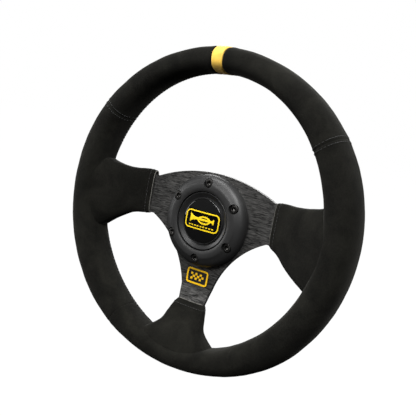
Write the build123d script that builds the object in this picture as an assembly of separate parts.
from build123d import *
import math
import os

# Quick release steering wheel for a racing car, in millimetres.
# The steering axis is Y. The driver sits on the -Y side, +Z is the top of the wheel and +X its right.
# The origin is the middle of the pilot bore of the quick release socket, behind the wheel.

# ---- driving dimensions ----
RIM_R = 142.0            # radius of the grip's centre line
RIM_Z = 9.7              # the rim's centre stands this far above the steering axis
RIM_Y = -59.8            # plane of the rim's centre line
GRIP_TOP = 11.9          # half width of the grip across the rim at 12 o'clock
GRIP_THUMB = 15.7        # the same at the thumb rests, 9 and 3 o'clock
GRIP_BOTTOM = 11.2       # the same at 6 o'clock
GRIP_DEPTH = 18.0        # half depth of the grip along the steering axis
GRIP_FULLNESS = 2.5      # power of the grip's superellipse section: 2 is an ellipse, more is fuller
SUEDE_T = 1.2            # suede thickness
CORE_BAR_R = 5.0         # aluminium bar inside the rim
BAND_HALF_DEG = 2.3      # half angle of the centre mark at 12 o'clock
SEAM_TOP_LEFT = 145.0    # seams across the grip, degrees from +X towards +Z
SEAM_TOP_RIGHT = 35.0
SEAM_LOW_LEFT = 240.0
SEAM_LOW_RIGHT = 300.0
FOAM_SEGMENTS = {        # the foam is moulded round the bar in three segments between the spokes
    "grip_foam_top": (3.0, 177.0),
    "grip_foam_low_left": (177.0, 272.0),
    "grip_foam_low_right": (272.0, 363.0),
}

PLATE_FRONT = -43.5      # driver's face of the spoke plate
PLATE_T = 4.0
PLATE_BACK = PLATE_FRONT + PLATE_T
BEND = 66.6              # distance from the axis where each spoke bends towards the rim
SCREW_PCD = 74.0         # six M5 screws, the usual racing wheel pattern
SCREW_COUNT = 6
SCREW_R = 2.5
PLATE_BORE_R = 30.0

RING_BASE_R = 45.0       # horn ring
RING_CREST_R = 33.0
RING_CREST_Y = -56.1
RING_BORE_R = 28.7
RING_LIP_Y = -55.2
HEAD_R = 4.25            # M5 socket head
HEAD_H = 5.0
HEAD_SEAT_Y = -49.2

CUP_R = 28.6             # horn push
CUP_WALL = 1.8
CUP_FRONT_Y = -46.2
CUP_BACK_Y = -36.5
CAP_R = 27.9
CAP_FRONT_Y = -54.4
CAP_BACK_Y = -48.4
CAP_SEAT_Y = -52.0        # where the emblem sits
CAP_DISH_Y = -52.2        # bottom of the dished surround
CAP_LIP_Y = -53.5         # thin lip round the emblem
CAP_UNDER_Y = -47.6
SKIRT_END_Y = -42.6
EMBLEM_R = 21.5
DOME_EDGE_Y = -53.3
DOME_CROWN_Y = -55.0
FRAME_LIFT = 0.3
FRAME_W = 38.4
FRAME_H = 18.0
FRAME_CORNER = 4.6
FRAME_LINE = 1.3

FLANGE_R = 42.0          # quick release flange and socket
FLANGE_BACK = -33.0
SPIGOT_R = 18.0          # the socket's front end, pressed through the flange
SPIGOT_FRONT = -36.3
MOUTH_Y = 4.5
NECK_R = 21.0
PILOT_R = 16.5
PILOT_LENGTH = 9.0
BALL_ZONE_R = 16.0
SPLINE_R = 14.5
SPLINE_COUNT = 12
SPLINE_FRONT_Y = -31.0
SPLINE_BACK_Y = -15.0
BALL_R = 3.5
BALL_COUNT = 6
BALL_Y = -9.5
BALL_PITCH_R = 18.0      # ball centres when locked
RAMP = 0.2               # the collar's inside opens by this much per millimetre
COLLAR_FRONT_Y = -24.2
COLLAR_BACK_Y = 1.2
COLLAR_R = 28.5
COLLAR_FLANGE_R = 31.5
GAP = 0.15               # clearance between a ball and the collar's ramp


# ---- helpers ----
def disc(radius, y0, y1, x=0.0, z=0.0):
    """A cylinder along Y from y0 to y1."""
    return Pos(x, (y0 + y1) / 2, z) * Rot(90, 0, 0) * Cylinder(radius, abs(y1 - y0))


def tube(outer, inner, y0, y1, x=0.0, z=0.0):
    return disc(outer, y0, y1, x, z) - disc(inner, y0 - 1, y1 + 1, x, z)


def spin(profile):
    """Turn a profile drawn in X (radius) and Y about the steering axis."""
    return revolve(profile, Axis.Y, 360)


def polar(radius, degrees):
    return radius * math.cos(math.radians(degrees)), radius * math.sin(math.radians(degrees))


def circle_angles(count, start=0.0):
    return [start + 360.0 * i / count for i in range(count)]


def front_prism(sketch, y0, y1):
    """Extrude a sketch drawn as seen by the driver (X right, Z up) from y0 to y1."""
    plane = Plane(origin=(0, y1, 0), x_dir=(1, 0, 0), z_dir=(0, -1, 0))
    return extrude(plane * sketch, amount=y1 - y0)


def wedge(start, end):
    """A sector of the rim between two angles, deep enough to hold the whole grip."""
    steps = max(1, math.ceil((end - start) / 60.0))
    corners = [polar(400.0, start + (end - start) * i / steps) for i in range(steps + 1)]
    outline = Pos(0, RIM_Z) * Polygon((0, 0), *corners, align=None)
    return front_prism(outline, RIM_Y - 60, RIM_Y + 60)


def smooth_step(value, low, high):
    t = min(1.0, max(0.0, (value - low) / (high - low)))
    return t * t * (3 - 2 * t)


# ---- the rim ----
def grip_half_width(degrees):
    """Half width of the grip: slim at the top, widest at the thumb rests, medium at the bottom."""
    from_top = abs((degrees - 90.0 + 180.0) % 360.0 - 180.0)
    swell = (GRIP_THUMB - GRIP_TOP) * smooth_step(from_top, 15, 80)
    taper = (GRIP_THUMB - GRIP_BOTTOM) * smooth_step(from_top, 128, 178)
    return GRIP_TOP + swell - taper


def fuller(value):
    """A sine or cosine raised so that it draws the superellipse."""
    return math.copysign(abs(value) ** (2.0 / GRIP_FULLNESS), value)


def grip_section(half_width, half_depth):
    """Outline of the grip's section, an oval with fuller corners than an ellipse."""
    points = [polar(1.0, degrees) for degrees in circle_angles(16)]
    outline = Spline(*[(half_width * fuller(x), half_depth * fuller(y)) for x, y in points], periodic=True)
    return make_face(outline)


def grip_ring(inset, step=15):
    """The grip as a full ring, inset from its outer surface."""
    ring = None
    for quarter in range(4):
        sections = []
        for i in range(90 // step + 1):
            degrees = 90.0 * quarter + step * i
            x, z = polar(1.0, degrees)
            plane = Plane(
                origin=(RIM_R * x, RIM_Y, RIM_Z + RIM_R * z), x_dir=(x, 0, z), z_dir=(-z, 0, x)
            )
            sections.append(plane * grip_section(grip_half_width(degrees) - inset, GRIP_DEPTH - inset))
        arc = loft(sections)
        ring = arc if ring is None else ring + arc
    return ring


def rim_core():
    return Pos(0, RIM_Y, RIM_Z) * Rot(90, 0, 0) * Torus(RIM_R, CORE_BAR_R)


# ---- the spoke plate ----
SIDE_SLOPE = (PLATE_FRONT + PLATE_T / 2 - RIM_Y) / (RIM_R - BEND)
LOW_SLOPE = (PLATE_FRONT + PLATE_T / 2 - RIM_Y) / (RIM_R - RIM_Z - BEND)
SIDE_TOP = 32.2          # top and bottom edges of a side spoke
SIDE_LOW = -7.0
LOW_HALF = 14.6          # half width of the bottom spoke
SPOKE_END = RIM_R - 4.0


def plate_outline():
    with BuildSketch() as sketch:
        with BuildLine():
            ThreePointArc((-BEND, SIDE_TOP), (0, 46.8), (BEND, SIDE_TOP))
            Polyline((BEND, SIDE_TOP), (SPOKE_END, 30), (SPOKE_END, SIDE_LOW - 2), (BEND, SIDE_LOW))
            ThreePointArc((BEND, SIDE_LOW), (34.1, -32.2), (16.6, -69.5))
            Polyline((16.6, -69.5), (LOW_HALF, -82), (LOW_HALF, RIM_Z - SPOKE_END))
            Line((LOW_HALF, RIM_Z - SPOKE_END), (-LOW_HALF, RIM_Z - SPOKE_END))
            Polyline((-LOW_HALF, RIM_Z - SPOKE_END), (-LOW_HALF, -82), (-16.6, -69.5))
            ThreePointArc((-16.6, -69.5), (-34.1, -32.2), (-BEND, SIDE_LOW))
            Polyline((-BEND, SIDE_LOW), (-SPOKE_END, SIDE_LOW - 2), (-SPOKE_END, 30), (-BEND, SIDE_TOP))
        make_face()
    return sketch.sketch


def bent_strip(reach, slope):
    """Side view of a spoke: flat over the hub, sloping towards the driver past the bend."""
    rise = slope * (reach - BEND)
    return [(0, PLATE_FRONT), (BEND, PLATE_FRONT), (reach, PLATE_FRONT - rise),
            (reach, PLATE_BACK - rise), (BEND, PLATE_BACK), (0, PLATE_BACK)]


def spoke_blank():
    """The bent plate, uncut where it meets the rim's bar."""
    right = bent_strip(SPOKE_END + 2, SIDE_SLOPE)
    left = [(-x, y) for x, y in reversed(right)]
    sides = extrude(Polygon(*right, align=None) + Polygon(*left, align=None), amount=150, both=True)
    low = bent_strip(SPOKE_END + 2, LOW_SLOPE)
    side_view = Plane(origin=(0, 0, 0), x_dir=(0, 0, -1), z_dir=(1, 0, 0))
    # In this plane X points down and Y points along -Y or +Y of the part, so its sign is set here.
    sign = 1 if side_view.y_dir.Y > 0 else -1
    strip = Polygon(*[(x, sign * y) for x, y in low], align=None)
    bottom = extrude(side_view * strip, amount=40, both=True)
    outline = plate_outline()
    prism = front_prism(outline, RIM_Y - 30, PLATE_BACK + 5)
    upper = prism & sides & Pos(0, 0, 150 - BEND) * Box(400, 400, 300)
    lower = prism & bottom & Pos(0, 0, -170) * Box(80, 400, 300)
    return upper + lower


def screw_holes(radius, y0, y1):
    holes = []
    for degrees in circle_angles(SCREW_COUNT, 30):
        x, z = polar(SCREW_PCD / 2, degrees)
        holes.append(disc(radius, y0, y1, x, z))
    return holes


def spoke_plate():
    plate = spoke_blank()
    plate -= disc(PLATE_BORE_R, PLATE_FRONT - 1, PLATE_BACK + 1)
    plate -= screw_holes(SCREW_R + 0.2, PLATE_FRONT - 1, PLATE_BACK + 1)
    return plate - rim_core()


# ---- padded sleeves over the spoke roots ----
SLEEVE_SIDE = [           # distance from the axis, lower edge, upper edge, driver's face, rear face
    (71.0, -8.4, 35.6, -47.6, -37.8),
    (80.0, -10.4, 35.8, -50.4, -38.6),
    (92.0, -16.0, 34.8, -56.0, -40.5),
    (106.0, -25.0, 35.5, -62.8, -42.0),
    (119.0, -33.0, 38.5, -69.5, -43.0),
    (132.0, -42.0, 44.0, -75.0, -43.2),
]
SLEEVE_LOW = [            # distance below the axis, half width, driver's face, rear face
    (81.0, 15.2, -49.4, -41.9),
    (86.0, 18.2, -53.2, -43.2),
    (94.0, 20.6, -57.8, -45.3),
    (104.0, 24.0, -64.3, -47.3),
    (113.0, 34.0, -70.3, -47.8),
    (124.0, 50.0, -74.6, -46.4),
]


def sleeve_side(side):
    """A padded sleeve round the left (-1) or right (1) spoke, flaring into the grip."""
    sections = []
    for reach, low, high, front, back in SLEEVE_SIDE:
        plane = Plane(
            origin=(side * reach, (front + back) / 2, (low + high) / 2), x_dir=(0, 1, 0), z_dir=(1, 0, 0)
        )
        sections.append(plane * RectangleRounded(back - front, high - low, 0.31 * (back - front)))
    return loft(sections)


def sleeve_low():
    sections = []
    for reach, half_width, front, back in SLEEVE_LOW:
        plane = Plane(origin=(0, (front + back) / 2, -reach), x_dir=(1, 0, 0), z_dir=(0, 0, 1))
        sections.append(plane * RectangleRounded(2 * half_width, back - front, 0.31 * (back - front)))
    return loft(sections)


# ---- the horn ring and its screws ----
def horn_ring():
    with BuildSketch() as profile:
        with BuildLine():
            Line((RING_BORE_R, PLATE_FRONT), (RING_BASE_R, PLATE_FRONT))
            Line((RING_BASE_R, PLATE_FRONT), (RING_BASE_R, -46.8))
            Spline(
                (RING_BASE_R, -46.8), (44.1, -50.2), (41.6, -53.0), (37.6, -55.1), (RING_CREST_R, RING_CREST_Y),
                tangents=((0, -1), (-1, 0)),
            )
            ThreePointArc((RING_CREST_R, RING_CREST_Y), (30.6, -55.9), (RING_BORE_R, RING_LIP_Y))
            Line((RING_BORE_R, RING_LIP_Y), (RING_BORE_R, PLATE_FRONT))
        make_face()
    ring = spin(profile.sketch)
    ring -= screw_holes(SCREW_R + 0.2, PLATE_FRONT + 1, HEAD_SEAT_Y - 1)
    return ring - screw_holes(HEAD_R + 0.5, HEAD_SEAT_Y, RING_CREST_Y - 1)


def ring_screws():
    top = HEAD_SEAT_Y - HEAD_H
    screws = []
    for degrees in circle_angles(SCREW_COUNT, 30):
        x, z = polar(SCREW_PCD / 2, degrees)
        head = disc(HEAD_R, top, HEAD_SEAT_Y, x, z)
        head = chamfer(head.edges().filter_by(GeomType.CIRCLE).sort_by(Axis.Y)[:1], 0.5)
        shank = disc(SCREW_R - 0.05, HEAD_SEAT_Y, FLANGE_BACK - 1.5, x, z)
        key = RegularPolygon(2.31, 6, rotation=degrees)
        socket = front_prism(Pos(x, z) * key, top - 1, top + 2.6)
        screws.append(head + shank - socket)
    return screws


# ---- the horn push ----
def horn_cup():
    cup = tube(CUP_R, CUP_R - CUP_WALL, CUP_FRONT_Y, CUP_BACK_Y) + disc(CUP_R, CUP_BACK_Y - CUP_WALL, CUP_BACK_Y)
    for x in (-8, 8):
        cup -= Pos(x, CUP_BACK_Y, 0) * Box(1.2, 10, 6.6)
    return cup


def horn_insulator():
    floor = CUP_BACK_Y - CUP_WALL
    plate = tube(CUP_R - CUP_WALL - 0.2, 11.0, floor - 1.2, floor)
    spigot = tube(13.0, 11.0, floor - 2.2, floor - 1.2)
    return plate + spigot


def contact_ring():
    floor = CUP_BACK_Y - CUP_WALL - 1.2
    return tube(24.0, 19.0, floor - 0.8, floor)


def horn_terminals():
    floor = CUP_BACK_Y - CUP_WALL
    blades = []
    for x in (-8, 8):
        blade = Pos(x, (floor - 0.8 + FLANGE_BACK - 0.8) / 2, 0) * Box(0.8, FLANGE_BACK - floor, 6.3)
        foot = Pos(x, floor - 0.4, 0) * Box(4.0, 0.8, 6.3)
        blades.append(blade + foot)
    return blades


def horn_cap():
    """The moving cap: a dished surround with a seat for the emblem and a skirt that guides it."""
    skirt_r = CUP_R - CUP_WALL - 0.08
    with BuildSketch() as profile:
        with BuildLine():
            Line((0, CAP_UNDER_Y), (skirt_r - 1.4, CAP_UNDER_Y))
            Polyline((skirt_r - 1.4, CAP_UNDER_Y), (skirt_r - 1.4, SKIRT_END_Y), (skirt_r, SKIRT_END_Y))
            Line((skirt_r, SKIRT_END_Y), (skirt_r, CAP_BACK_Y))
            Polyline((skirt_r, CAP_BACK_Y), (CAP_R, CAP_BACK_Y), (CAP_R, CAP_FRONT_Y + 0.5))
            ThreePointArc((CAP_R, CAP_FRONT_Y + 0.5), (27.6, CAP_FRONT_Y + 0.1), (27.0, CAP_FRONT_Y))
            ThreePointArc((27.0, CAP_FRONT_Y), (24.4, CAP_DISH_Y - 0.8), (22.9, CAP_DISH_Y))
            Polyline((22.9, CAP_DISH_Y), (22.3, CAP_LIP_Y), (21.6, CAP_LIP_Y), (21.6, CAP_SEAT_Y))
            Polyline((21.6, CAP_SEAT_Y), (0, CAP_SEAT_Y), (0, CAP_UNDER_Y))
        make_face()
    cap = spin(profile.sketch)
    return cap + tube(7.6, 6.6, -47.7, -44.6)


def dome_y(radius, lift=0.0):
    """Height of the emblem's dome at a radius: a sphere through its crown and its edge."""
    sag = DOME_EDGE_Y - DOME_CROWN_Y
    sphere_r = (EMBLEM_R**2 + sag**2) / (2 * sag)
    return DOME_CROWN_Y - lift + sphere_r - math.sqrt(sphere_r**2 - radius**2)


def dome_arc(lift=0.0):
    half = EMBLEM_R / 2
    return ThreePointArc((EMBLEM_R, dome_y(EMBLEM_R, lift)), (half, dome_y(half, lift)), (0, dome_y(0, lift)))


def emblem_disc():
    with BuildSketch() as profile:
        with BuildLine():
            Polyline((0, DOME_CROWN_Y), (0, CAP_SEAT_Y), (EMBLEM_R, CAP_SEAT_Y), (EMBLEM_R, DOME_EDGE_Y))
            dome_arc()
        make_face()
    return spin(profile.sketch)


def rounded_frame(width, height, corner, line):
    return RectangleRounded(width, height, corner) - RectangleRounded(
        width - 2 * line, height - 2 * line, corner - line
    )


def emblem_frame():
    """The raised rounded outline on the emblem, following its dome."""
    with BuildSketch() as skin:
        with BuildLine():
            dome_arc()
            dome_arc(FRAME_LIFT)
            Line((0, dome_y(0)), (0, dome_y(0, FRAME_LIFT)))
            Line((EMBLEM_R, DOME_EDGE_Y), (EMBLEM_R, DOME_EDGE_Y - FRAME_LIFT))
        make_face()
    marks = rounded_frame(FRAME_W, FRAME_H, FRAME_CORNER, FRAME_LINE)
    return front_prism(marks, DOME_CROWN_Y - 2, CAP_SEAT_Y) & spin(skin.sketch)


def contact_plate():
    return tube(25.0, 9.0, -47.6, -46.8)


# ---- springs ----
def coil(radius, wire_r, y0, y1, turns):
    """A compression spring between y0 and y1, wire surface inside that span."""
    length = y1 - y0 - 2 * wire_r
    path = Helix(pitch=length / turns, height=length, radius=radius)
    start = path @ 0
    section = Plane(origin=start, z_dir=path % 0) * Circle(wire_r)
    spring = sweep(section, path=path, is_frenet=True)
    return Pos(0, y1 - wire_r, 0) * Rot(90, 0, 0) * spring


def horn_spring():
    return coil(5.4, 0.6, -47.5, CUP_BACK_Y - CUP_WALL - 0.1, 4.5)


def collar_spring():
    return coil(23.0, 0.9, FLANGE_BACK + 0.1, -15.2, 4.0)


# ---- the quick release hub ----
def ball_places():
    return [polar(1.0, degrees) + (degrees,) for degrees in circle_angles(BALL_COUNT, 0)]


def radial_hole(radius, r0, r1, degrees):
    x, z = polar((r0 + r1) / 2, degrees)
    along = Plane(origin=(x, BALL_Y, z), z_dir=polar_vector(degrees))
    return along * Cylinder(radius, r1 - r0)


def polar_vector(degrees):
    x, z = polar(1.0, degrees)
    return (x, 0, z)


def turned(*points):
    """A solid turned from a closed outline of (radius, y) points."""
    return spin(make_face(Polyline(*points, close=True)))


def release_flange():
    edge = 0.8
    flange = turned(
        (SPIGOT_R + 0.02, PLATE_BACK), (FLANGE_R, PLATE_BACK), (FLANGE_R, FLANGE_BACK - edge),
        (FLANGE_R - edge, FLANGE_BACK), (SPIGOT_R + 0.02, FLANGE_BACK),
    )
    flange -= disc(CUP_R + 0.2, PLATE_BACK - 1, SPIGOT_FRONT)
    return flange - screw_holes(SCREW_R, PLATE_BACK - 1, FLANGE_BACK + 1)


def release_socket():
    edge = 0.6
    hub = turned(
        (0, SPIGOT_FRONT), (SPIGOT_R, SPIGOT_FRONT), (SPIGOT_R, FLANGE_BACK), (NECK_R, FLANGE_BACK),
        (NECK_R, MOUTH_Y - edge), (NECK_R - edge, MOUTH_Y), (0, MOUTH_Y),
    )
    hub -= disc(PILOT_R, MOUTH_Y - PILOT_LENGTH, MOUTH_Y + 1)
    hub -= disc(BALL_ZONE_R, SPLINE_BACK_Y, MOUTH_Y - PILOT_LENGTH)
    hub -= disc(SPLINE_R, SPLINE_FRONT_Y, SPLINE_BACK_Y)
    groove = Pos(SPLINE_R, (SPLINE_FRONT_Y + 2 + SPLINE_BACK_Y) / 2, 0) * Box(
        3.0, SPLINE_BACK_Y - SPLINE_FRONT_Y - 2, 3.6
    )
    for degrees in circle_angles(SPLINE_COUNT):
        hub -= Rot(0, degrees, 0) * groove
    hub -= disc(12.0, SPIGOT_FRONT - 1, FLANGE_BACK)
    hub -= disc(4.0, FLANGE_BACK - 1, SPLINE_FRONT_Y + 1)
    for x, z, degrees in ball_places():
        hub -= radial_hole(BALL_R + 0.06, 16.7, NECK_R + 2, degrees)
        hub -= radial_hole(3.36, 14.0, 17.0, degrees)
    return hub - tube(NECK_R + 2, NECK_R - 1.2, CLIP_Y, CLIP_Y + 1.6)


CLIP_Y = COLLAR_BACK_Y + 1.2


def stop_washer():
    return tube(26.0, NECK_R + 0.1, COLLAR_BACK_Y, CLIP_Y)


def retaining_ring():
    """External snap ring with a gap, sitting in the neck's groove."""
    ring = tube(NECK_R + 2.2, NECK_R - 1.2, CLIP_Y, CLIP_Y + 1.5)
    ring -= Pos(0, CLIP_Y, -NECK_R) * Box(9, 6, 9)
    for x in (-6.4, 6.4):
        ring += disc(2.4, CLIP_Y, CLIP_Y + 1.5, x, -NECK_R - 1.6)
        ring -= disc(1.0, CLIP_Y - 1, CLIP_Y + 3, x, -NECK_R - 1.9)
    return ring


def ramp_radius(y):
    """Inner radius of the collar at y when it is locked."""
    touch = BALL_PITCH_R + (BALL_R + GAP) * math.sqrt(1 + RAMP * RAMP)
    return touch + RAMP * (y - BALL_Y)


def release_collar():
    ramp_y = BALL_Y - 1.6
    guide_y = ramp_y - 4.0
    edge = 0.6
    with BuildSketch() as profile:
        with BuildLine():
            Polyline(
                (25.4, COLLAR_FRONT_Y), (COLLAR_R - edge, COLLAR_FRONT_Y), (COLLAR_R, COLLAR_FRONT_Y + edge),
                (COLLAR_R, COLLAR_BACK_Y - 5.0), (COLLAR_FLANGE_R, COLLAR_BACK_Y - 4.0),
                (COLLAR_FLANGE_R, COLLAR_BACK_Y - edge), (COLLAR_FLANGE_R - edge, COLLAR_BACK_Y),
                (ramp_radius(COLLAR_BACK_Y), COLLAR_BACK_Y), (ramp_radius(ramp_y), ramp_y),
                (NECK_R + 0.07, ramp_y), (NECK_R + 0.07, guide_y), (25.4, guide_y), (25.4, COLLAR_FRONT_Y),
            )
        make_face()
    collar = spin(profile.sketch)
    for degrees in circle_angles(12, 15):
        x, z = polar(COLLAR_R + 4.2, degrees)
        collar -= disc(6.0, COLLAR_FRONT_Y - 1, COLLAR_BACK_Y - 7, x, z)
        x, z = polar(COLLAR_FLANGE_R + 3.4, degrees)
        collar -= disc(5.0, COLLAR_BACK_Y - 7, COLLAR_BACK_Y + 1, x, z)
    return collar


def lock_ball(degrees):
    x, z = polar(BALL_PITCH_R, degrees)
    return Pos(x, BALL_Y, z) * Sphere(BALL_R)


# ---- the badge on the bottom spoke ----
BADGE_Z = -56.6


def spoke_badge():
    return front_prism(Pos(0, BADGE_Z) * RectangleRounded(24.6, 15.4, 2.6), PLATE_FRONT - 0.6, PLATE_FRONT)


def badge_border():
    outline = Pos(0, BADGE_Z) * rounded_frame(24.6, 15.4, 2.6, 1.6)
    return front_prism(outline, PLATE_FRONT - 0.9, PLATE_FRONT - 0.6)


# ---- assembly ----
def build_rim(nodes):
    outer = grip_ring(0.0)
    foam = grip_ring(SUEDE_T)
    blank = spoke_blank()
    skin = outer - foam - blank
    band_low = 90.0 - BAND_HALF_DEG
    band_high = 90.0 + BAND_HALF_DEG
    slit = 0.1
    panels = {
        "suede_top_right": (SEAM_TOP_RIGHT, band_low - slit),
        "suede_top_left": (band_high + slit, SEAM_TOP_LEFT),
        "suede_left": (SEAM_TOP_LEFT, SEAM_LOW_LEFT),
        "suede_bottom": (SEAM_LOW_LEFT, SEAM_LOW_RIGHT),
        "suede_right": (SEAM_LOW_RIGHT - 360.0, SEAM_TOP_RIGHT),
        "centre_band": (band_low, band_high),
    }
    for name, (start, end) in panels.items():
        nodes[name] = skin & wedge(start, end)
    for name, (start, end) in FOAM_SEGMENTS.items():
        nodes[name] = (foam & wedge(start, end)) - rim_core() - blank
    nodes["rim_core"] = rim_core()
    nodes["sleeve_left"] = sleeve_side(-1) - outer - blank
    nodes["sleeve_right"] = sleeve_side(1) - outer - blank
    nodes["sleeve_bottom"] = sleeve_low() - outer - blank


def build_all():
    nodes = {}
    build_rim(nodes)
    nodes["spoke_plate"] = spoke_plate()
    nodes["spoke_badge"] = spoke_badge()
    nodes["badge_border"] = badge_border()
    nodes["horn_ring"] = horn_ring()
    nodes["ring_screws"] = ring_screws()
    nodes["horn_cup"] = horn_cup()
    nodes["horn_insulator"] = horn_insulator()
    nodes["horn_contact_ring"] = contact_ring()
    nodes["horn_terminals"] = horn_terminals()
    nodes["horn_cap"] = horn_cap()
    nodes["horn_contact_plate"] = contact_plate()
    nodes["emblem_disc"] = emblem_disc()
    nodes["emblem_frame"] = emblem_frame()
    nodes["horn_spring"] = horn_spring()
    nodes["release_flange"] = release_flange()
    nodes["release_socket"] = release_socket()
    nodes["release_collar"] = release_collar()
    nodes["collar_spring"] = collar_spring()
    nodes["stop_washer"] = stop_washer()
    nodes["retaining_ring"] = retaining_ring()
    for number, degrees in enumerate(circle_angles(BALL_COUNT), 1):
        nodes[f"lock_ball_{number}"] = lock_ball(degrees)
    return nodes


def as_one(shape):
    return Compound(children=list(shape)) if isinstance(shape, (list, tuple)) else shape


os.makedirs("parts", exist_ok=True)
for name, shape in build_all().items():
    export_step(as_one(shape), f"parts/{name}.step")
